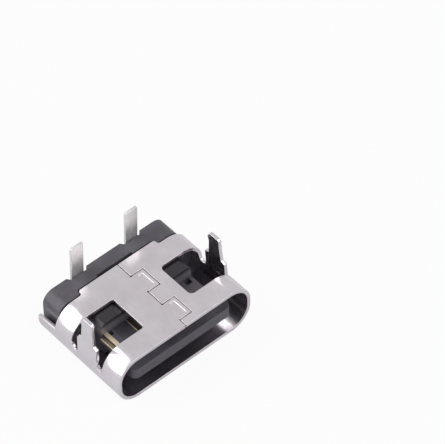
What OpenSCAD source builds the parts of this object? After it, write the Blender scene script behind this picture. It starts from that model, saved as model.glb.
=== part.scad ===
// Two-contact USB-C socket for through-hole mounting, lying on its plain cover side.
// X runs across the mouth, Y from the mouth back to the solder legs, Z from the cover to the board side.
// The origin is on the face of the cover, halfway between the mouth's rim and the cover's rear edge.
// Shapes are drawn with Y counted from the rim, and to_frame() moves them. Lengths are in millimetres.

/* [Mouth and shell] */
// Clear width of the mouth
mouth_w = 8.34; // [8.2:0.02:8.6]
// Clear height of the mouth
mouth_h = 2.56; // [2.5:0.02:2.7]
// Inner radius of the shell's side bends
bend_r = 1.1; // [0.9:0.02:1.24]
// Thickness of the shell's sheet
sheet_t = 0.2; // [0.15:0.01:0.25]
// Length of the shell's board side, along its middle
board_len = 5.34; // [5.1:0.02:5.6]
// Width of that middle stretch
board_mid_w = 5.06; // [4.6:0.02:5.4]
// How far the board side steps forward beside the middle stretch
board_step = 0.32; // [0.2:0.02:0.5]
// Radius of the corners of that step
step_r = 0.15; // [0.05:0.01:0.19]
// Length of the shell's cover side
cover_len = 6.38; // [6.2:0.02:6.8]
// Height of the side lips where they leave the bends
lip_front_z = 1.72; // [1.6:0.02:1.9]
// Height of the side lips at their rear end
lip_rear_z = 1.6; // [1.4:0.02:1.7]

/* [Windows and side legs] */
// Front edge of the windows, back from the mouth
window_y = 1.32; // [1.2:0.01:1.4]
// Length of the windows
window_l = 2.44; // [2.3:0.02:2.6]
// Distance from the middle to each window's inner edge
window_x = 1.56; // [1.4:0.02:1.8]
// Corner radius of the window on the left, seen from the mouth with the board side up
window_left_r = 0.14; // [0.05:0.01:0.3]
// Corner radius of the window on the right
window_right_r = 0.28; // [0.05:0.01:0.4]
// Width of the slot in front of each side leg
front_slot_w = 0.42; // [0.3:0.01:0.46]
// Width of the slot behind each side leg
rear_slot_w = 0.52; // [0.4:0.01:0.56]
// Height at which the slots end
slot_z = 1.52; // [1.4:0.01:1.6]
// Height of the side legs' shoulders
shoulder_z = 2.85; // [2.6:0.05:3.2]
// Height of the side legs' tips
leg_tip_z = 4.5; // [4.2:0.02:4.8]
// Width of the side legs' shanks at the shoulders
shank_w = 0.94; // [0.86:0.02:1.1]
// Width of the side legs' shanks at the neck below the tip
neck_w = 0.78; // [0.7:0.02:0.84]
// Distance of that neck below the tip
neck_drop = 0.62; // [0.5:0.02:0.8]
// How far the shank's middle stands forward of its base's
shank_shift = 0.02; // [0:0.01:0.08]
// How far the tip's middle stands forward of the shank's
tip_shift = 0.02; // [0:0.01:0.08]
// How far the tip bulges out behind the neck
tip_bulge = 0.1; // [0.04:0.01:0.16]
// How far the side legs lean in at their tips
leg_lean = 0.1; // [0:0.01:0.14]
// Size of the chamfers on the side legs' corners
leg_chamfer = 0.1; // [0.06:0.01:0.12]

/* [Seam] */
// Distance of the joint line from the middle of the board side
seam_x = 0.08; // [0:0.01:0.2]
// Width of the joint line down the board side
seam_w = 0.045; // [0.02:0.005:0.06]
// How far the locking teeth reach across the joint line
tooth_reach = 0.8; // [0.6:0.02:0.9]
// Length of each locking tooth
tooth_l = 1.36; // [1.2:0.02:1.4]
// Front edge of the first locking tooth
tooth_first_y = 0.47; // [0.4:0.01:0.54]
// Distance from one locking tooth to the next
tooth_pitch = 2.46; // [2.4:0.02:2.6]
// Radius of the relief holes at the roots of the teeth
relief_r = 0.05; // [0.03:0.01:0.07]
// Distance of the coined line on each tooth from the tooth's edges
coin_inset = 0.2; // [0.16:0.01:0.26]
// Width of that line
coin_w = 0.1; // [0.06:0.01:0.14]
// Depth of that line
coin_depth = 0.03; // [0.01:0.01:0.06]

/* [Cover notch and tabs] */
// Width of the cover's notch between the roots of its two tabs
notch_rear_w = 4.24; // [4:0.02:4.4]
// Width of the notch in front of the tabs
notch_front_w = 2.9; // [2.6:0.05:3.1]
// Length of the notch
notch_l = 1.2; // [1.1:0.05:1.3]
// Width of the tabs, along the socket
tab_w = 0.8; // [0.7:0.02:0.84]
// How far the tabs stand back from the cover's rear edge
tab_inset = 0.04; // [0:0.01:0.06]
// Width of the cut in front of each tab's root
tab_relief = 0.08; // [0.05:0.01:0.1]
// Reach of the two tabs that are bent in from the notch's sides
tab_reach = 1.5; // [1.2:0.02:1.56]
// Angle at which the tabs slope in
tab_angle = 24; // [16:1:28]

/* [Moulding] */
// Gap between the moulding and the shell round it
fit_gap = 0.02; // [0.01:0.01:0.04]
// How far the moulding's rear face stands out behind the cover's rear edge
rear_reach = 0.03; // [0.01:0.01:0.08]
// Room in front of the cover's tabs, inside the moulding
tab_room = 0.1; // [0.05:0.01:0.2]
// Width of the moulding's rear end, which rises behind the board side's rear edge
rear_w = 8; // [7.9:0.02:8.2]
// Height of that rear end's top
rear_top_z = 2.86; // [2.8:0.01:2.92]
// Corner radius of the rear end
rear_r = 0.7; // [0.6:0.05:0.9]
// Gap between the board side's rear edge and the rise behind it
rear_gap = 0.14; // [0.08:0.01:0.2]
// Where the full section of the moulding starts
base_y = 4.4; // [4.2:0.05:4.7]
// Where the tongue narrows for the plug's latches
latch_y = 1.6; // [1.5:0.05:1.8]
// Where the tongue thickens into its root
root_y = 3; // [2.9:0.05:3.2]
// Thickness of the root
root_t = 2.3; // [2.1:0.05:2.5]
// Radius of the root's long edges
root_r = 0.3; // [0.2:0.05:0.4]
// Width of the root, and of the tongue behind the place where it narrows
root_w = 5.96; // [5.8:0.02:6.2]
// Width of the tongue's front
tongue_w = 6.54; // [6.4:0.02:6.7]
// Thickness of the tongue
tongue_t = 0.7; // [0.66:0.01:0.74]
// How far the tongue's tip stands back from the mouth
tongue_y = 0.15; // [0.1:0.01:0.4]
// Corner radius of the tongue's tip
tongue_r = 0.4; // [0.2:0.02:0.5]
// Width of the middle block between the two solder legs
mid_block_w = 2.22; // [2.1:0.02:2.4]
// Distance from the middle to each outer block
outer_block_x = 2.43; // [2.36:0.01:2.5]
// Depth of the recesses in which the solder legs stand, clear of the moulding by a hair
leg_recess = 0.2; // [0.18:0.01:0.3]
// How far the slanted flanks of those recesses reach in from each side
recess_flank = 0.16; // [0.1:0.01:0.2]
// Height of the middle block's ledge, measured from the cover face
ledge_z = 0.98; // [0.95:0.01:0.99]
// Width of the post in the cover's notch
post_w = 1.06; // [0.9:0.02:1.2]
// Length of the post
post_l = 0.75; // [0.6:0.01:0.8]
// How far the post's end stands back from the cover's face
post_z = 0.06; // [0.02:0.01:0.15]

/* [Moulding details] */
// Distance from the middle to the outer side of the shallow pocket in the tongue
pocket_x = 2.26; // [2.2:0.02:2.4]
// Width of that pocket
pocket_w = 0.8; // [0.6:0.02:0.84]
// Front edge of that pocket, which ends at the root, back from the mouth
pocket_y = 1.7; // [1.7:0.05:2.6]
// Depth of that pocket
pocket_depth = 0.12; // [0.05:0.01:0.2]
// Distance from the middle to the inner side of the square mould hole in the tongue
mould_hole_x = 2.42; // [2.2:0.02:2.5]
// Width of the mould hole
mould_hole_w = 0.36; // [0.3:0.01:0.44]
// Length of the mould hole, which ends at the root
mould_hole_l = 0.36; // [0.3:0.01:0.44]
// Depth of the mould hole
mould_hole_depth = 0.4; // [0.2:0.02:0.5]
// Width of the pit beside the rear end of the ground contact's strip
pit_w = 0.2; // [0.1:0.01:0.24]
// Length of that pit
pit_l = 0.28; // [0.2:0.01:0.32]
// Left end of the relief behind the board side's rear edge, from the middle
relief_x = 1.13; // [0.8:0.01:1.4]
// Width of that relief
relief_w = 2.33; // [1.6:0.01:2.5]
// How far that relief shows behind the edge
relief_l = 0.25; // [0.2:0.01:0.3]
// Depth of that relief
relief_depth = 0.35; // [0.05:0.01:0.45]

/* [Contacts] */
// Thickness of the contacts' sheet
contact_t = 0.17; // [0.15:0.01:0.2]
// Height of the contacts' blades inside the moulding, measured from the cover face
blade_z = 0.9; // [0.88:0.01:0.94]
// Width of the solder legs
pin_w = 0.77; // [0.7:0.01:0.8]
// Distance between the solder legs' middles
pin_pitch = 3.58; // [3.5:0.02:3.64]
// Height of the solder legs' tips
pin_tip_z = 4.96; // [4.6:0.02:5.4]
// How far the solder legs lean to the right at their tips
pin_lean = 0.08; // [0:0.01:0.12]
// How far the solder legs' flat backs stand in from the moulding's rear face
pin_inset = 0; // [0:0.01:0.04]
// Inner radius of the solder legs' bends
pin_bend_r = 0.12; // [0.1:0.01:0.16]
// Width of the contact strips on the tongue
strip_w = 0.26; // [0.24:0.01:0.3]
// Distance of the ground contact's strip from the middle
ground_x = 2.72; // [2.68:0.01:2.76]
// Distance of the power contact's strip from the middle, on the same side
power_x = 1.28; // [1.24:0.01:1.32]
// Distance of the ground contact's latch edge from the middle
latch_x = 3.06; // [3.02:0.01:3.14]
// Height that the latch edge and the strip beside it share
latch_lap = 0.02; // [0.01:0.01:0.04]
// How far the contact strips stand proud of the tongue
strip_stand = 0.02; // [0.01:0.01:0.04]
// Where the contact strips start, back from the mouth
strip_y = 0.92; // [0.8:0.05:1.2]
// Length of the blades, along the socket
blade_l = 0.6; // [0.5:0.05:0.8]
// Distance of the solder legs' blades from the front of the moulding's full section
blade_inset = 0.1; // [0.05:0.01:0.14]
// Distance between those blades and the one that crosses to the power contact's strip
blade_gap = 0.3; // [0.2:0.05:0.4]
// Width of the sheared tie that ends in the moulding's rear face beside each solder leg
tie_w = 0.34; // [0.3:0.01:0.38]
// Distance from each solder leg's middle to its tie's
tie_pitch = 0.96; // [0.94:0.01:0.98]

/* [Hidden] */
$fn = 64;
eps = 0.01;
body_w = mouth_w + 2 * sheet_t;
body_h = mouth_h + 2 * sheet_t;
mid_z = body_h / 2;
window_end = window_y + window_l;
leg_front = window_y + front_slot_w;
leg_rear = window_end - rear_slot_w;
side_end = board_len - board_step;
rear_y = cover_len + rear_reach;
tongue_top = mid_z + tongue_t / 2;
tongue_bottom = mid_z - tongue_t / 2;
clear_w = mouth_w - 2 * fit_gap;
clear_h = mouth_h - 2 * fit_gap;
recess_y = rear_y - leg_recess;
recess_x = mid_block_w / 2;
post_y = rear_y - post_l;
notch_front = cover_len - notch_l;
tab_y = cover_len - tab_inset - tab_w;
pin_outer_r = pin_bend_r + contact_t;
pin_back = rear_y - pin_inset;
strip_top = tongue_top + strip_stand;
strip_side_x = ground_x + strip_w / 2;
latch_z = strip_top - 2 * contact_t + latch_lap;
leg_blade_y = base_y + blade_inset;
cross_blade_y = leg_blade_y - blade_l - blade_gap;
rear_bottom_z = sheet_t + fit_gap;

// Moves what is drawn with Y from the mouth's rim to the part's own frame.
module to_frame() {
    translate([0, -cover_len / 2, 0]) children();
}

// Lays a flat shape in the YZ plane and gives it a thickness from x0 to x1.
module across_x(x0, x1) {
    translate([x0, 0, 0]) rotate([90, 0, 90]) linear_extrude(x1 - x0) children();
}

// Lays a flat shape in the XZ plane and gives it a length from y0 to y1.
module along_y(y0, y1) {
    translate([0, y1, 0]) rotate([90, 0, 0]) linear_extrude(y1 - y0) children();
}

// A child and its mirror image on the other side.
module both_sides() {
    children();
    mirror([1, 0, 0]) children();
}

// A rectangle with round corners, centred on the origin.
module rounded(w, h, r) {
    square([w - 2 * r, h], center = true);
    square([w, h - 2 * r], center = true);
    for (sx = [-1, 1], sy = [-1, 1]) translate([sx * (w / 2 - r), sy * (h / 2 - r)]) circle(r);
}

// The tube's section, shrunk inwards by inset.
module section(inset) {
    translate([0, mid_z]) rounded(body_w - 2 * inset, body_h - 2 * inset, bend_r + sheet_t - inset);
}

// A slot with a round bottom, w wide from u0, going up from v0.
module slot_shape(u0, w, v0) {
    translate([u0 + w / 2, v0 + w / 2]) circle(w / 2);
    translate([u0, v0 + w / 2]) square([w, body_h]);
}

// What the two window cuts take away, seen from above.
module window_plan(r) {
    translate([window_x, window_y]) {
        translate([r, 0]) square([body_w, window_l]);
        translate([0, r]) square([body_w, window_l - 2 * r]);
        for (y = [r, window_l - r]) translate([r, y]) circle(r);
    }
}

// The cut behind the board side, seen from above: a straight edge that steps forward at both ends.
module rear_plan() {
    difference() {
        translate([-body_w, side_end]) square([2 * body_w, cover_len]);
        translate([-board_mid_w / 2, 0]) square([board_mid_w, board_len - step_r]);
        translate([-board_mid_w / 2 + step_r, 0]) square([board_mid_w - 2 * step_r, board_len]);
        for (s = [-1, 1]) {
            translate([s * (board_mid_w / 2 - step_r), board_len - step_r]) circle(step_r);
            difference() {
                translate([s * (board_mid_w / 2 + step_r / 2), side_end + step_r / 2])
                    square(step_r + eps, center = true);
                translate([s * (board_mid_w / 2 + step_r), side_end + step_r]) circle(step_r);
            }
        }
    }
}

// The joint line down the board side, seen from above, with its two locking teeth.
module seam_plan() {
    h = seam_w / 2;
    translate([seam_x - h, -eps]) square([seam_w, tooth_first_y + eps]);
    for (i = [0, 1]) translate([seam_x, tooth_first_y + i * tooth_pitch]) {
        difference() {
            translate([-h, -h]) square([tooth_reach + seam_w, tooth_l + seam_w]);
            translate([-seam_w, h]) square([seam_w + tooth_reach - h, tooth_l - seam_w]);
        }
        for (y = [0, tooth_l]) translate([0, y]) circle(relief_r);
        translate([-h, tooth_l]) square([seam_w, (i == 0 ? tooth_pitch - tooth_l : board_len)]);
    }
}

// The coined line on both teeth, seen from above: three sides of a square inside each tooth's edges.
module coin_plan() {
    for (i = [0, 1]) translate([seam_x, tooth_first_y + i * tooth_pitch + coin_inset]) difference() {
        translate([coin_inset, 0]) square([tooth_reach - 2 * coin_inset, tooth_l - 2 * coin_inset]);
        translate([0, coin_w]) square([tooth_reach - coin_inset - coin_w, tooth_l - 2 * coin_inset - 2 * coin_w]);
    }
}

// The outline of a side leg in the YZ plane.
module leg_outline() {
    mid = (leg_front + leg_rear) / 2 - shank_shift;
    tip_front = mid - tip_shift - neck_w / 2;
    tip_rear = mid - tip_shift + neck_w / 2 + tip_bulge;
    neck_z = leg_tip_z - neck_drop;
    polygon([
        [leg_front, slot_z], [leg_rear, slot_z],
        [leg_rear, shoulder_z - leg_chamfer], [mid + shank_w / 2, shoulder_z],
        [mid + neck_w / 2, neck_z], [tip_rear, leg_tip_z - 3 * leg_chamfer],
        [tip_rear - leg_chamfer, leg_tip_z - leg_chamfer], [tip_rear - 2 * leg_chamfer, leg_tip_z],
        [tip_front + leg_chamfer, leg_tip_z], [tip_front, leg_tip_z - leg_chamfer],
        [mid - neck_w / 2, neck_z], [mid - shank_w / 2, shoulder_z + leg_chamfer],
        [leg_front, shoulder_z]
    ]);
}

// The side leg on the right: its outline, given the section of a sheet that leans in above the slots.
module side_leg() {
    foot_z = slot_z + rear_slot_w;
    x = body_w / 2;
    intersection() {
        across_x(x - sheet_t - leg_lean, x) leg_outline();
        along_y(window_y, window_end) polygon([
            [x, slot_z], [x, foot_z], [x - leg_lean, leg_tip_z],
            [x - leg_lean - sheet_t, leg_tip_z], [x - sheet_t, foot_z], [x - sheet_t, slot_z]
        ]);
    }
}

// One tab, bent in from the side of the cover's notch on the right: a round root and a flat blade.
module tab() {
    along_y(tab_y, tab_y + tab_w) translate([notch_rear_w / 2, sheet_t]) {
        rotate(-tab_angle) translate([-tab_reach, -sheet_t]) square([tab_reach, sheet_t]);
        intersection() {
            circle(sheet_t);
            translate([-sheet_t, -sheet_t]) square([2 * sheet_t, sheet_t]);
        }
    }
}

module shell() color("#c4bec2") to_frame() {
    difference() {
        along_y(0, cover_len) difference() {
            section(0);
            section(sheet_t);
        }
        // the board side and the bends end before the cover does
        intersection() {
            linear_extrude(2 * body_h) rear_plan();
            across_x(-body_w, body_w) polygon([
                [side_end, lip_front_z], [cover_len, lip_rear_z], [2 * cover_len, lip_rear_z],
                [2 * cover_len, 2 * body_h], [side_end, 2 * body_h]
            ]);
        }
        // windows and the slots beside the legs
        translate([0, 0, slot_z + rear_slot_w / 2]) linear_extrude(body_h) {
            window_plan(window_right_r);
            mirror([1, 0]) window_plan(window_left_r);
        }
        both_sides() across_x(body_w / 2 - bend_r, body_w) {
            slot_shape(window_y, front_slot_w, slot_z);
            slot_shape(leg_rear, rear_slot_w, slot_z);
        }
        translate([0, 0, mid_z]) linear_extrude(body_h) seam_plan();
        translate([0, 0, body_h - coin_depth]) linear_extrude(2 * coin_depth) coin_plan();
        // the notch in the cover
        translate([0, 0, -eps]) linear_extrude(sheet_t + 2 * eps) {
            translate([-notch_front_w / 2, notch_front]) square([notch_front_w, 2 * notch_l]);
            translate([-notch_rear_w / 2, tab_y - tab_relief]) square([notch_rear_w, 2 * notch_l]);
        }
    }
    both_sides() {
        side_leg();
        tab();
    }
}

// The metal of a solder leg in the YZ plane: out of the moulding, round its bend and up to the tip.
module pin_profile(start_y) {
    bend_y = pin_back - pin_outer_r;
    bend_z = blade_z + pin_outer_r;
    translate([start_y, blade_z]) square([bend_y - start_y, contact_t]);
    intersection() {
        translate([bend_y, bend_z]) difference() {
            circle(pin_outer_r);
            circle(pin_bend_r);
        }
        translate([bend_y, blade_z]) square(pin_outer_r);
    }
    translate([pin_back - contact_t, bend_z]) square([contact_t, pin_tip_z - bend_z]);
}

// A solder leg at x: its profile, given the outline of a strip that leans over above the moulding.
module solder_leg(x, start_y) {
    intersection() {
        across_x(x - pin_w / 2, x + pin_w / 2 + pin_lean) pin_profile(start_y);
        along_y(start_y, rear_y) translate([x, 0]) polygon([
            [-pin_w / 2, 0], [pin_w / 2, 0], [pin_w / 2, rear_top_z], [pin_w / 2 + pin_lean, pin_tip_z],
            [pin_lean - pin_w / 2, pin_tip_z], [-pin_w / 2, rear_top_z]
        ]);
    }
}

// A contact: solder leg, the blade at blade_y that carries it across to its strip, the strip along the
// tongue, and the sheared tie whose end shows in the moulding's rear face.
module contact(pin_x, strip_x, blade_y) {
    tie_x = pin_x + tie_pitch - tie_w / 2;
    left = min(pin_x - pin_w / 2, strip_x - strip_w / 2);
    right = max(pin_x + pin_w / 2, strip_x + strip_w / 2);
    solder_leg(pin_x, blade_y);
    translate([left, blade_y, blade_z]) cube([right - left, blade_l, contact_t]);
    translate([pin_x, leg_blade_y, blade_z]) cube([tie_x + tie_w - pin_x, blade_l, contact_t]);
    translate([tie_x, leg_blade_y, blade_z + contact_t / 2]) cube([tie_w, rear_y - leg_blade_y, contact_t]);
    translate([strip_x - strip_w / 2, blade_y, blade_z]) cube([strip_w, contact_t, strip_top - blade_z]);
    translate([strip_x - strip_w / 2, strip_y, strip_top - contact_t])
        cube([strip_w, blade_y + contact_t - strip_y, contact_t]);
}

module power_metal() {
    contact(pin_pitch / 2, -power_x, cross_blade_y);
}

module ground_metal() {
    contact(-pin_pitch / 2, -ground_x, leg_blade_y);
    // the latch edge beside the strip, held by the tongue's narrow side
    translate([-latch_x, latch_y, latch_z]) cube([latch_x - ground_x, root_y - latch_y, contact_t]);
}

module power_contact() color("#cfcac8") to_frame() power_metal();

module ground_contact() color("#cfcac8") to_frame() ground_metal();

// The tongue with its round tip corners and its narrow stretch, and the thicker root behind it.
module tongue() {
    translate([0, 0, tongue_bottom]) linear_extrude(tongue_t) {
        translate([-tongue_w / 2, tongue_y + tongue_r]) square([tongue_w, latch_y - tongue_y - tongue_r]);
        translate([-tongue_w / 2 + tongue_r, tongue_y]) square([tongue_w - 2 * tongue_r, 2 * tongue_r]);
        for (s = [-1, 1]) translate([s * (tongue_w / 2 - tongue_r), tongue_y + tongue_r]) circle(tongue_r);
        translate([-root_w / 2, latch_y - eps]) square([root_w, base_y - latch_y]);
    }
    along_y(root_y, base_y + eps) translate([0, mid_z]) rounded(root_w, root_t, root_r);
}

// The section that fills the tube but for the fit.
module clear_section() {
    translate([0, mid_z]) rounded(clear_w, clear_h, bend_r - fit_gap);
}

// The section of the moulding's rear end.
module rear_section() {
    translate([0, (rear_bottom_z + rear_top_z) / 2]) rounded(rear_w, rear_top_z - rear_bottom_z, rear_r);
}

// The block behind the tongue, with the rise that follows the board side's rear edge.
module block() {
    along_y(base_y, side_end) clear_section();
    along_y(base_y, rear_y) intersection() {
        clear_section();
        rear_section();
    }
    intersection() {
        along_y(side_end, rear_y) rear_section();
        translate([0, rear_gap, mid_z]) linear_extrude(body_h) rear_plan();
    }
}

// The recess in which a solder leg stands, seen from above, with its slanted flanks.
module recess_plan() {
    polygon([
        [recess_x, 2 * rear_y], [recess_x, rear_y], [recess_x + recess_flank, recess_y],
        [outer_block_x - recess_flank, recess_y], [outer_block_x, rear_y], [outer_block_x, 2 * rear_y]
    ]);
}

module housing() color("#55555f") to_frame() {
    difference() {
        union() {
            tongue();
            difference() {
                block();
                // room for the cover's tabs, above the blades and above the ledge between them
                translate([0, notch_front - tab_room, -eps]) {
                    translate([-outer_block_x, 0, 0]) cube([2 * outer_block_x, cover_len, blade_z]);
                    translate([-recess_x, 0, 0]) cube([2 * recess_x, cover_len, ledge_z]);
                }
            }
            // the post in the cover's notch, level with the cover's face but for a hair
            translate([-post_w / 2, post_y, post_z]) cube([post_w, post_l, mid_z - post_z]);
        }
        // recesses for the solder legs
        both_sides() translate([0, 0, -eps]) linear_extrude(body_h) recess_plan();
        power_metal();
        ground_metal();
        // the tongue's edge beside the ground strip is open down to the latch edge
        translate([-latch_x, latch_y, latch_z])
            cube([latch_x - strip_side_x, root_y - latch_y, tongue_top]);
        // a shallow pocket between the strips, and a square mould hole on the other side
        translate([-pocket_x, pocket_y, tongue_top - pocket_depth])
            cube([pocket_w, root_y - pocket_y, pocket_depth + eps]);
        translate([mould_hole_x, root_y - mould_hole_l, tongue_top - mould_hole_depth])
            cube([mould_hole_w, mould_hole_l, mould_hole_depth + eps]);
        translate([strip_w / 2 - ground_x, root_y - pit_l, tongue_top - mould_hole_depth])
            cube([pit_w, pit_l, mould_hole_depth + eps]);
        // a relief along the board side's rear edge
        translate([-relief_x, board_len - relief_l, body_h - sheet_t - relief_depth])
            cube([relief_w, 2 * relief_l, 2 * relief_depth + sheet_t]);
    }
}

shell();
housing();
power_contact();
ground_contact();
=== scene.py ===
"""Looks of a two-contact USB-C socket with through-hole legs, lying on its cover face.

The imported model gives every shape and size. This script turns its nodes into finished pieces, rounds the
edges of the metal ones, gives each its material, and sets the table, the light and the camera.
Everything is in metres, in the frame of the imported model: X across the mouth, Y from the mouth to the
solder legs, Z up from the cover face.
"""

import logging
import math
from dataclasses import dataclass, field
from enum import Enum

import bmesh
import bpy
from mathutils import Matrix, Quaternion, Vector


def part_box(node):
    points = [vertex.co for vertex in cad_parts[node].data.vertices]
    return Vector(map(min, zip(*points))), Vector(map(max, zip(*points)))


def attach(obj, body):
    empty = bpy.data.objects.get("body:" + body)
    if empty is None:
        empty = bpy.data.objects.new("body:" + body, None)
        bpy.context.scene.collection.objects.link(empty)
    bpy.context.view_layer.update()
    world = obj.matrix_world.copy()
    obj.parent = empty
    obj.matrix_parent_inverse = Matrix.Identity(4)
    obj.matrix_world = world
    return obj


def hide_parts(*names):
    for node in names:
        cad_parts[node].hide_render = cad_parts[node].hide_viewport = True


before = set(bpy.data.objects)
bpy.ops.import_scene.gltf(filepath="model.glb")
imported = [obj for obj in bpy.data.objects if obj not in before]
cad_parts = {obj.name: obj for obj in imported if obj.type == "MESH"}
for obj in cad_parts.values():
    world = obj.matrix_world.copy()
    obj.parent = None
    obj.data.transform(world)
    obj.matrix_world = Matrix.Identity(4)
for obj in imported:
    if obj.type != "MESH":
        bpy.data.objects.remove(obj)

logging.basicConfig(level=logging.INFO, format="%(name)s: %(message)s")
log = logging.getLogger("usb_c_socket")

MM = 0.001

# Vertices closer than this are one, in metres
MERGE_DISTANCE = 1e-7
# Faces that meet at a smaller angle than this are one flat face, in degrees
FLAT_ANGLE = 0.4
# Places of a colour ramp's two stops
RAMP_STOPS = (0.35, 0.65)
# Range in which most of a noise factor lies
NOISE_RANGE = (0.3, 0.7)

Colour = tuple[float, float, float]


class Axis(Enum):
    """An axis of the frame, named as Blender names it."""

    X = (1.0, 0.0, 0.0)
    Y = (0.0, 1.0, 0.0)
    Z = (0.0, 0.0, 1.0)


class MaterialTree:
    """Helps a finish to lay out the nodes of its material."""

    def __init__(self, name: str) -> None:
        """Starts an empty material with its output and Principled shader.

        Args:
            name: The material's name.
        """
        self.material = bpy.data.materials.new(name)
        self.material.use_nodes = True
        self.tree = self.material.node_tree
        self.tree.nodes.clear()
        self.output = self.node("ShaderNodeOutputMaterial")
        self.shader = self.node("ShaderNodeBsdfPrincipled")
        self.link(self.shader.outputs["BSDF"], self.output.inputs["Surface"])
        self.place = self.node("ShaderNodeTexCoord").outputs["Object"]

    def node(self, kind: str) -> bpy.types.Node:
        """Adds a node of that kind and returns it."""
        return self.tree.nodes.new(kind)

    def link(self, start: bpy.types.NodeSocket, end: bpy.types.NodeSocket) -> None:
        """Links two sockets."""
        self.tree.links.new(start, end)

    def math(
        self, operation: str, first: bpy.types.NodeSocket, second: float | bpy.types.NodeSocket
    ) -> bpy.types.NodeSocket:
        """Adds a Math node.

        Args:
            operation: Blender's name of the operation.
            first: The socket of the first value.
            second: The second value, as a number or a socket.

        Returns:
            The socket of the result.
        """
        node = self.node("ShaderNodeMath")
        node.operation = operation
        self.link(first, node.inputs[0])
        if isinstance(second, (int, float)):
            node.inputs[1].default_value = second
        else:
            self.link(second, node.inputs[1])
        return node.outputs[0]

    def noise(
        self, per_mm: float, stretch: tuple[float, float, float] = (1, 1, 1), detail: float = 3.0
    ) -> bpy.types.NodeSocket:
        """Adds a noise pattern on the object's own coordinates.

        Args:
            per_mm: How many blotches fit in a millimetre.
            stretch: The factor by which the pattern is denser along each axis.
            detail: The noise's level of detail.

        Returns:
            The socket of the noise's factor.
        """
        mapping = self.node("ShaderNodeMapping")
        mapping.inputs["Scale"].default_value = [s / MM for s in stretch]
        self.link(self.place, mapping.inputs["Vector"])
        noise = self.node("ShaderNodeTexNoise")
        noise.inputs["Scale"].default_value = per_mm
        noise.inputs["Detail"].default_value = detail
        self.link(mapping.outputs["Vector"], noise.inputs["Vector"])
        return noise.outputs["Fac"]

    def ramp(self, fac: bpy.types.NodeSocket, low: Colour, high: Colour) -> bpy.types.NodeSocket:
        """Adds a colour ramp between two colours.

        Args:
            fac: The socket that the ramp reads.
            low: The colour where the factor is low.
            high: The colour where it is high.

        Returns:
            The socket of the ramp's colour.
        """
        node = self.node("ShaderNodeValToRGB")
        for element, place, colour in zip(node.color_ramp.elements, RAMP_STOPS, (low, high)):
            element.position = place
            element.color = (*colour, 1.0)
        self.link(fac, node.inputs["Fac"])
        return node.outputs["Color"]

    def along(self, axis: Axis) -> bpy.types.NodeSocket:
        """Returns the socket of the place along an axis, in metres."""
        parts = self.node("ShaderNodeSeparateXYZ")
        self.link(self.place, parts.inputs["Vector"])
        return parts.outputs[axis.name]

    def rise(self, value: bpy.types.NodeSocket, start: float, end: float) -> bpy.types.NodeSocket:
        """Maps a value onto 0 at start and 1 at end, with a smooth curve between.

        Args:
            value: The socket of the value.
            start: The value that gives 0.
            end: The value that gives 1.

        Returns:
            The socket of the result.
        """
        node = self.node("ShaderNodeMapRange")
        node.interpolation_type = "SMOOTHSTEP"
        node.inputs["From Min"].default_value = start
        node.inputs["From Max"].default_value = end
        self.link(value, node.inputs["Value"])
        return node.outputs["Result"]

    def blend(
        self, share: bpy.types.NodeSocket, first: bpy.types.NodeSocket, second: Colour
    ) -> bpy.types.NodeSocket:
        """Mixes a colour into another.

        Args:
            share: The socket of the second colour's share.
            first: The socket of the first colour.
            second: The second colour.

        Returns:
            The socket of the mixed colour.
        """
        node = self.node("ShaderNodeMix")
        node.data_type = "RGBA"
        self.link(share, node.inputs["Factor"])
        self.link(first, node.inputs["A"])
        node.inputs["B"].default_value = (*second, 1.0)
        return node.outputs["Result"]

    def spread(self, fac: bpy.types.NodeSocket, low: float, high: float) -> bpy.types.NodeSocket:
        """Maps a noise factor onto a range of values.

        Args:
            fac: The noise's factor, mostly inside NOISE_RANGE.
            low: The value at the range's start.
            high: The value at its end.

        Returns:
            The socket of the value.
        """
        node = self.node("ShaderNodeMapRange")
        node.inputs["From Min"].default_value, node.inputs["From Max"].default_value = NOISE_RANGE
        node.inputs["To Min"].default_value = low
        node.inputs["To Max"].default_value = high
        self.link(fac, node.inputs["Value"])
        return node.outputs["Result"]

    def bump(
        self, height: bpy.types.NodeSocket, depth_mm: float, under: bpy.types.NodeSocket | None = None
    ) -> bpy.types.NodeSocket:
        """Adds a bump on the surface.

        Args:
            height: The socket of the height, from 0 to 1.
            depth_mm: The depth of the relief, in millimetres.
            under: The normal of a bump below this one.

        Returns:
            The socket of the normal.
        """
        node = self.node("ShaderNodeBump")
        node.inputs["Strength"].default_value = 1.0
        node.inputs["Distance"].default_value = depth_mm * MM
        self.link(height, node.inputs["Height"])
        if under is not None:
            self.link(under, node.inputs["Normal"])
        return node.outputs["Normal"]


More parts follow.
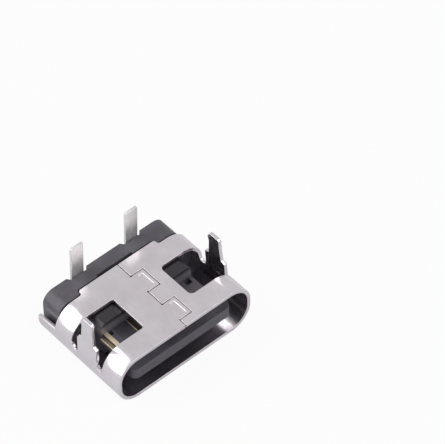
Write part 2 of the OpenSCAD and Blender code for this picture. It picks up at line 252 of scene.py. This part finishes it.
@dataclass(frozen=True)
class PlatedSteel:
    """Nickel-plated steel sheet: a satin metal with rolling marks and faint clouds.

    Attributes:
        name: The material's name.
        bright: The clouds' bright colour.
        dull: The clouds' dull colour.
        roughness: Middle roughness.
        rolled: The axis along which the sheet was rolled.
        cloud_share: The clouds' share in the colour; the rolling marks have the rest.
        wave_mm: Depth of the sheet's waves, in millimetres.
        grain_mm: Depth of the rolling marks, in millimetres.
    """

    name: str = "plated_steel"
    bright: Colour = (0.83, 0.79, 0.83)
    dull: Colour = (0.76, 0.715, 0.755)
    roughness: float = 0.2
    rolled: Axis = Axis.Y
    cloud_share: float = 0.75
    wave_mm: float = 0.0004
    grain_mm: float = 0.0005

    def material(self) -> bpy.types.Material:
        """Builds the material and returns it."""
        tree = MaterialTree(self.name)
        clouds = tree.noise(0.9, detail=4.0)
        stretch = tuple(1.0 if part else 9.0 for part in self.rolled.value)
        lines = tree.noise(1.6, stretch=stretch, detail=5.0)
        mixed = tree.math(
            "ADD",
            tree.math("MULTIPLY", clouds, self.cloud_share),
            tree.math("MULTIPLY", lines, 1.0 - self.cloud_share),
        )
        tree.link(tree.ramp(mixed, self.dull, self.bright), tree.shader.inputs["Base Color"])
        rough = tree.spread(mixed, self.roughness - 0.05, self.roughness + 0.06)
        tree.link(rough, tree.shader.inputs["Roughness"])
        waves = tree.bump(tree.noise(0.55, detail=1.0), self.wave_mm)
        grain = tree.bump(lines, self.grain_mm, under=waves)
        tree.link(grain, tree.shader.inputs["Normal"])
        tree.shader.inputs["Metallic"].default_value = 1.0
        return tree.material


@dataclass(frozen=True)
class MouldedPlastic:
    """Dark slate moulding compound with a fine satin grain.

    The tongue's root gets painted light at its foot and painted shade under the shell.

    Attributes:
        name: The material's name.
        light: The clouds' light colour.
        dark: The clouds' dark colour.
        painted_light: Painted light on the root's foot, above the tongue.
        painted_shade: Painted shade on the root under the shell.
        root_y: Where the root's painted light and painted shade hold fully, in metres.
        base_y: Where they have faded out, in metres.
        tongue_z: Height of the tongue's upper face, in metres.
        fade: Height over which the painted light sets in, in metres.
        shade_z: Height at which the painted shade sets in, in metres.
        root_z: Height at which it holds fully, in metres.
        roughness: Middle roughness.
        grain_mm: Depth of the grain, in millimetres.
    """

    name: str = "moulding"
    light: Colour = (0.105, 0.1, 0.118)
    dark: Colour = (0.08, 0.076, 0.09)
    painted_light: Colour = (0.165, 0.155, 0.175)
    painted_shade: Colour = (0.022, 0.02, 0.026)
    root_y: float = 0.6 * MM
    base_y: float = 1.4 * MM
    tongue_z: float = 1.86 * MM
    fade: float = 0.08 * MM
    shade_z: float = 2.25 * MM
    root_z: float = 2.58 * MM
    roughness: float = 0.36
    grain_mm: float = 0.004

    def material(self) -> bpy.types.Material:
        """Builds the material and returns it."""
        tree = MaterialTree(self.name)
        clouds = tree.noise(1.4, detail=4.0)
        plain = tree.ramp(clouds, self.dark, self.light)
        height = tree.along(Axis.Z)
        before_base = tree.rise(tree.along(Axis.Y), self.base_y, self.root_y)
        above_tongue = tree.rise(height, self.tongue_z, self.tongue_z + self.fade)
        # Painted light: the root's foot above the tongue is made paler
        with_painted_light = tree.blend(tree.math("MULTIPLY", before_base, above_tongue), plain, self.painted_light)
        # Painted shade: the root under the shell is made nearly black
        painted_shade_share = tree.math("MULTIPLY", before_base, tree.rise(height, self.shade_z, self.root_z))
        tree.link(tree.blend(painted_shade_share, with_painted_light, self.painted_shade), tree.shader.inputs["Base Color"])
        rough = tree.spread(clouds, self.roughness - 0.05, self.roughness + 0.08)
        tree.link(rough, tree.shader.inputs["Roughness"])
        grain = tree.bump(tree.noise(14.0, detail=2.0), self.grain_mm)
        tree.link(grain, tree.shader.inputs["Normal"])
        return tree.material


@dataclass(frozen=True)
class ContactMetal:
    """Tinned copper alloy with drawn lines, gold-flashed where the strip lies on the tongue.

    Attributes:
        name: The material's name.
        brown_from_x: Where the brown band beside the gold starts, in metres.
        brown_to_x: Where it ends, in metres.
        tin: Bright tin.
        tin_dull: Dull tin.
        gold: Gold flash.
        brown: Colour of the band beside the gold; on the power contact it is painted shade under the shell.
        gold_ends_y: Where the gold ends, in metres.
        roughness: Middle roughness.
        grain_mm: Depth of the drawn lines, in millimetres.
    """

    name: str
    brown_from_x: float
    brown_to_x: float
    tin: Colour = (0.86, 0.85, 0.835)
    tin_dull: Colour = (0.76, 0.75, 0.735)
    gold: Colour = (0.86, 0.74, 0.58)
    brown: Colour = (0.2, 0.16, 0.12)
    gold_ends_y: float = 1.2 * MM
    roughness: float = 0.5
    grain_mm: float = 0.0025

    def material(self) -> bpy.types.Material:
        """Builds the material and returns it."""
        tree = MaterialTree(self.name)
        lines = tree.noise(1.5, stretch=(9, 9, 1), detail=5.0)
        tinned = tree.ramp(lines, self.tin_dull, self.tin)
        front = tree.math("LESS_THAN", tree.along(Axis.Y), self.gold_ends_y)
        gilded = tree.blend(front, tinned, self.gold)
        across = tree.along(Axis.X)
        inside = tree.math(
            "MULTIPLY",
            tree.math("GREATER_THAN", across, self.brown_from_x),
            tree.math("LESS_THAN", across, self.brown_to_x),
        )
        # Brown band on the gold's stretch; on the power contact it is painted shade under the shell
        colour = tree.blend(tree.math("MULTIPLY", inside, front), gilded, self.brown)
        tree.link(colour, tree.shader.inputs["Base Color"])
        rough = tree.spread(lines, self.roughness - 0.06, self.roughness + 0.08)
        tree.link(rough, tree.shader.inputs["Roughness"])
        tree.link(tree.bump(lines, self.grain_mm), tree.shader.inputs["Normal"])
        tree.shader.inputs["Metallic"].default_value = 1.0
        return tree.material


@dataclass
class SoftEdged:
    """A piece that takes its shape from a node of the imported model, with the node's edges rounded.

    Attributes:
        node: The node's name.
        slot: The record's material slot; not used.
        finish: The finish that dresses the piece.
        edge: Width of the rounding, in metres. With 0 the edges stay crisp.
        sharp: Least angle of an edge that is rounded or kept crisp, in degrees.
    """

    node: str
    slot: str
    finish: PlatedSteel | MouldedPlastic | ContactMetal
    edge: float
    sharp: float = 28.0
    name: str = field(init=False)

    def __post_init__(self) -> None:
        """Names the piece after its node."""
        self.name = f"{self.node}_finished"

    def closed_mesh(self) -> bpy.types.Mesh:
        """Merges the node's triangles into one closed mesh of whole faces, and returns it."""
        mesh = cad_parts[self.node].data.copy()
        mesh.name = self.name
        work = bmesh.new()
        work.from_mesh(mesh)
        bmesh.ops.remove_doubles(work, verts=work.verts, dist=MERGE_DISTANCE)
        bmesh.ops.dissolve_limit(
            work,
            angle_limit=math.radians(FLAT_ANGLE),
            verts=work.verts,
            edges=work.edges,
            use_dissolve_boundaries=False,
        )
        for face in work.faces:
            face.smooth = True
        for edge in work.edges:
            edge.smooth = self.edge > 0 or edge.calc_face_angle(0.0) < math.radians(self.sharp)
        work.to_mesh(mesh)
        work.free()
        mesh.materials.clear()
        return mesh

    def round_edges(self, piece: bpy.types.Object) -> None:
        """Gives the piece rounded edges. The corners of the rounding that pass the node's box move onto it.

        Args:
            piece: The piece, whose modifiers are applied here.
        """
        bevel = piece.modifiers.new("soft_edges", "BEVEL")
        bevel.width = self.edge
        bevel.segments = 2
        bevel.limit_method = "ANGLE"
        bevel.angle_limit = math.radians(self.sharp)
        bevel.use_clamp_overlap = False
        even = piece.modifiers.new("flat_faces_stay_flat", "WEIGHTED_NORMAL")
        even.mode = "FACE_AREA_WITH_ANGLE"
        even.weight = 90
        bpy.context.view_layer.update()
        shaped = piece.evaluated_get(bpy.context.evaluated_depsgraph_get())
        mesh = bpy.data.meshes.new_from_object(shaped)
        piece.modifiers.clear()
        low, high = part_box(self.node)
        for vertex in mesh.vertices:
            vertex.co = [min(max(v, a), b) for v, a, b in zip(vertex.co, low, high)]
        piece.data = mesh

    def build(self) -> bpy.types.Object:
        """Builds the piece, dresses it, puts it in the node's place and returns it."""
        piece = bpy.data.objects.new(self.name, self.closed_mesh())
        bpy.context.scene.collection.objects.link(piece)
        if self.edge > 0:
            self.round_edges(piece)
        piece.data.materials.clear()
        piece.data.materials.append(self.finish.material())
        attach(piece, "root")
        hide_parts(self.node)
        log.info("%s: %d faces", piece.name, len(piece.data.polygons))
        return piece


@dataclass(frozen=True)
class Softbox:
    """A rectangular soft lamp that faces the object.

    Attributes:
        name: The lamp's name.
        azimuth: Its direction round the object, in degrees from +X towards +Y.
        elevation: Its height, in degrees.
        tilt: Its turn about the line to the object, in degrees.
        width: Its longer side, in metres.
        height: Its shorter side, in metres.
        watts: Its power.
        far: Its distance, in metres.
    """

    name: str
    azimuth: float
    elevation: float
    tilt: float
    width: float
    height: float
    watts: float
    far: float = 0.3

    def build(self) -> bpy.types.Object:
        """Hangs the lamp in its place and returns it."""
        data = bpy.data.lights.new(self.name, "AREA")
        data.shape = "RECTANGLE"
        data.size = self.width
        data.size_y = self.height
        data.energy = self.watts
        lamp = bpy.data.objects.new(self.name, data)
        bpy.context.scene.collection.objects.link(lamp)
        a, e = math.radians(self.azimuth), math.radians(self.elevation)
        away = Vector((math.cos(a) * math.cos(e), math.sin(a) * math.cos(e), math.sin(e)))
        lamp.location = away * self.far
        turn = Quaternion(away, math.radians(self.tilt)) @ away.to_track_quat("Z", "Y")
        lamp.rotation_euler = turn.to_euler()
        return lamp


@dataclass
class Studio:
    """The white table, the soft lamps, the room and the camera.

    Attributes:
        floor_half: Half the table's width, in metres.
        room: Brightness of the room.
        white_to_camera: Share of plain white in what the camera sees of the table.
        white_to_metal: Share of plain white in what reflections show of the room.
        table_to_metal: Share of plain white in what reflections show of the table.
        azimuth: Where the camera stands round the object, in degrees.
        elevation: How high the camera stands, in degrees.
        roll: Turn of the camera about its own axis, in degrees.
        aim_right: Offset of the camera to its right, in metres.
        aim_up: Offset of the camera upwards, in metres.
        distance: Distance of the camera, in metres.
        rim_y: Place of the mouth's rim, from which the camera's place is counted, in metres.
        lens: Focal length, in millimetres on a sensor 36 mm wide.
        lamps: The soft lamps.
    """

    floor_half: float = 0.4
    room: float = 0.45
    white_to_camera: float = 0.93
    white_to_metal: float = 0.4
    table_to_metal: float = 0.12
    azimuth: float = -39.93
    elevation: float = 49.22
    roll: float = -1.53
    aim_right: float = 1.845 * MM
    aim_up: float = 7.145 * MM
    distance: float = 181.17 * MM
    rim_y: float = -3.19 * MM
    lens: float = 288.8
    lamps: tuple[Softbox, ...] = (
        Softbox("left_back_softbox", 140, 36, -52, 0.44, 0.24, 0.62),
        Softbox("front_softbox", -70, 50, 0, 0.24, 0.2, 0.26),
    )

    def table(self) -> bpy.types.Object:
        """Makes the table's top, white to the camera and to reflections, and returns it."""
        h = self.floor_half
        mesh = bpy.data.meshes.new("table_top")
        mesh.from_pydata([(-h, -h, 0), (h, -h, 0), (h, h, 0), (-h, h, 0)], [], [(0, 1, 2, 3)])
        top = bpy.data.objects.new("table_top", mesh)
        bpy.context.scene.collection.objects.link(top)
        tree = MaterialTree("table_white")
        tree.shader.inputs["Base Color"].default_value = (0.74, 0.74, 0.76, 1)
        tree.shader.inputs["Roughness"].default_value = 0.9
        glow = tree.node("ShaderNodeEmission")
        glow.inputs["Color"].default_value = (1, 1, 1, 1)
        ray = tree.node("ShaderNodeLightPath")
        mix = tree.node("ShaderNodeMixShader")
        seen = tree.math("MULTIPLY", ray.outputs["Is Camera Ray"], self.white_to_camera)
        mirrored = tree.math("MAXIMUM", ray.outputs["Is Glossy Ray"], ray.outputs["Is Transmission Ray"])
        share = tree.math("MAXIMUM", seen, tree.math("MULTIPLY", mirrored, self.table_to_metal))
        tree.link(share, mix.inputs["Fac"])
        tree.link(tree.shader.outputs["BSDF"], mix.inputs[1])
        tree.link(glow.outputs["Emission"], mix.inputs[2])
        tree.link(mix.outputs["Shader"], tree.output.inputs["Surface"])
        mesh.materials.append(tree.material)
        return top

    def world(self) -> None:
        """Fills the room with plain light, and shows it white to the camera."""
        world = bpy.data.worlds.new("room")
        world.use_nodes = True
        bpy.context.scene.world = world
        tree = world.node_tree
        tree.nodes.clear()
        out = tree.nodes.new("ShaderNodeOutputWorld")
        light = tree.nodes.new("ShaderNodeBackground")
        light.inputs["Color"].default_value = (1.0, 0.985, 0.99, 1)
        light.inputs["Strength"].default_value = self.room
        seen = tree.nodes.new("ShaderNodeBackground")
        seen.inputs["Color"].default_value = (1, 1, 1, 1)
        seen.inputs["Strength"].default_value = 1.0
        ray = tree.nodes.new("ShaderNodeLightPath")
        mirrored = tree.nodes.new("ShaderNodeMath")
        mirrored.operation = "MAXIMUM"
        tree.links.new(ray.outputs["Is Glossy Ray"], mirrored.inputs[0])
        tree.links.new(ray.outputs["Is Transmission Ray"], mirrored.inputs[1])
        share = tree.nodes.new("ShaderNodeMath")
        share.operation = "MULTIPLY_ADD"
        share.inputs[1].default_value = self.white_to_metal
        tree.links.new(mirrored.outputs[0], share.inputs[0])
        tree.links.new(ray.outputs["Is Camera Ray"], share.inputs[2])
        mix = tree.nodes.new("ShaderNodeMixShader")
        tree.links.new(share.outputs[0], mix.inputs["Fac"])
        tree.links.new(light.outputs["Background"], mix.inputs[1])
        tree.links.new(seen.outputs["Background"], mix.inputs[2])
        tree.links.new(mix.outputs["Shader"], out.inputs["Surface"])

    def build(self) -> None:
        """Sets up the whole studio."""
        self.table()
        self.world()
        for lamp in self.lamps:
            lamp.build()
        self.camera()
        bpy.context.scene.view_settings.view_transform = "Standard"
        log.info("studio ready")

    def camera(self) -> bpy.types.Object:
        """Stands the camera in its place and returns it."""
        a, e, r = (math.radians(v) for v in (self.azimuth, self.elevation, self.roll))
        back = Vector((math.sin(a) * math.cos(e), -math.cos(a) * math.cos(e), math.sin(e)))
        level = Vector((math.cos(a), math.sin(a), 0))
        upright = back.cross(level)
        right = math.cos(r) * level + math.sin(r) * upright
        up = -math.sin(r) * level + math.cos(r) * upright
        data = bpy.data.cameras.new("camera")
        data.lens = self.lens
        data.sensor_width = 36.0
        data.clip_start = 0.005
        data.clip_end = 10.0
        camera = bpy.data.objects.new("camera", data)
        bpy.context.scene.collection.objects.link(camera)
        turn = Matrix((right, up, back)).transposed().to_4x4()
        spot = right * self.aim_right + up * self.aim_up + back * self.distance
        camera.matrix_world = Matrix.Translation(spot + Vector((0, self.rim_y, 0))) @ turn
        bpy.context.scene.camera = camera
        return camera


def main() -> None:
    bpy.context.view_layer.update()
    # The power contact's brown band is painted shade under the shell; the ground contact's lies on its
    # latch ledge
    power_metal = ContactMetal("power_metal", brown_from_x=-1.37 * MM, brown_to_x=-1.1 * MM)
    ground_metal = ContactMetal("ground_metal", brown_from_x=-3.02 * MM, brown_to_x=-2.84 * MM)
    pieces = [
        SoftEdged("shell", "plated_steel", PlatedSteel(), edge=0.014 * MM),
        SoftEdged("housing", "moulding", MouldedPlastic(), edge=0.0),
        SoftEdged("power_contact", "contact_metal", power_metal, edge=0.012 * MM),
        SoftEdged("ground_contact", "contact_metal", ground_metal, edge=0.012 * MM),
    ]
    for piece in pieces:
        piece.build()
    Studio().build()


if __name__ == "__main__":
    main()
